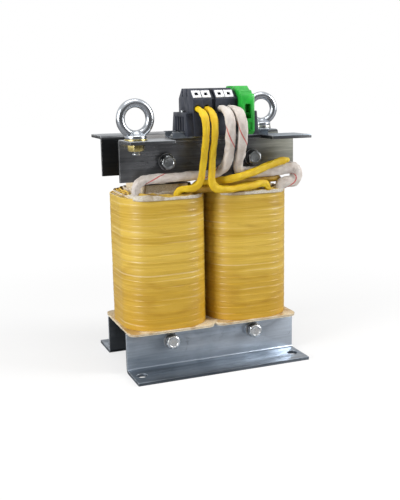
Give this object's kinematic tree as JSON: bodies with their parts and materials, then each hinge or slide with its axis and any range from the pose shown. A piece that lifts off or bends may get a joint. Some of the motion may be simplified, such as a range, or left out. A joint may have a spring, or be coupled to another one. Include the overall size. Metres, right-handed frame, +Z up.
{
  "type": "dry type transformer",
  "caption": "Open dry type transformer: taped coils on a laminated core clamped between steel angles, with lifting eyes, rail terminals and sleeved leads.",
  "frame": {"origin": "centre of the four foot holes, on the plane the feet stand on", "axes": "+Z up; +X along the steel angles; -Y is the terminal side"},
  "size_m": [0.2639, 0.1879, 0.341],
  "materials": {
    "foot_steel": "galvanised, brushed",
    "frame_steel": "dark mill finish",
    "core_steel": "varnished laminations",
    "board": "pressboard",
    "copper_winding": "enamelled winding",
    "coil_tape": "varnished tape",
    "coil_end": "varnished paper",
    "zinc_bolts": "bright zinc",
    "spring_steel": "dark",
    "eye_steel": "bright zinc",
    "yellow_zinc": "yellow zinc",
    "rail_zinc": "zinc",
    "grey_plastic": "satin",
    "marker_plastic": "satin",
    "green_plastic": "satin",
    "yellow_sleeve": "varnished braid",
    "white_sleeve": "woven",
    "core_insulation": "satin"
  },
  "bodies": {
    "root": {"foot_angle_front": "foot_steel", "foot_angle_rear": "foot_steel", "top_angle_front": "frame_steel", "top_angle_rear": "frame_steel", "core_u_stack": "core_steel", "core_i_stack": "core_steel", "coil_board_left": "board", "coil_board_right": "board", "coil_former_left": "board", "coil_former_right": "board", "winding_left": "copper_winding", "winding_right": "copper_winding", "coil_wrap_left": "coil_tape", "coil_wrap_right": "coil_tape", "coil_end_rings": "coil_end", "clamp_bolts": "zinc_bolts", "clamp_washers": "zinc_bolts", "clamp_lock_washers": "spring_steel", "clamp_nuts": "zinc_bolts", "eye_bolt_front": "eye_steel", "eye_bolt_rear": "eye_steel", "eye_washers": "yellow_zinc", "eye_nuts": "yellow_zinc", "din_rail": "rail_zinc", "rail_screws": "zinc_bolts", "terminal_1": "grey_plastic", "terminal_2": "grey_plastic", "terminal_3": "grey_plastic", "terminal_4": "grey_plastic", "terminal_markers": "marker_plastic", "terminal_spacer": "grey_plastic", "earth_spacer": "grey_plastic", "earth_terminal": "green_plastic", "end_bracket_left": "grey_plastic", "end_bracket_right": "grey_plastic", "bracket_screws": "zinc_bolts", "lead_yellow_a": "yellow_sleeve", "lead_yellow_b": "yellow_sleeve", "lead_yellow_c": "yellow_sleeve", "lead_yellow_d": "yellow_sleeve", "lead_white_a": "white_sleeve", "lead_white_b": "white_sleeve", "lead_cores": "core_insulation"}
  },
  "joints": []
}
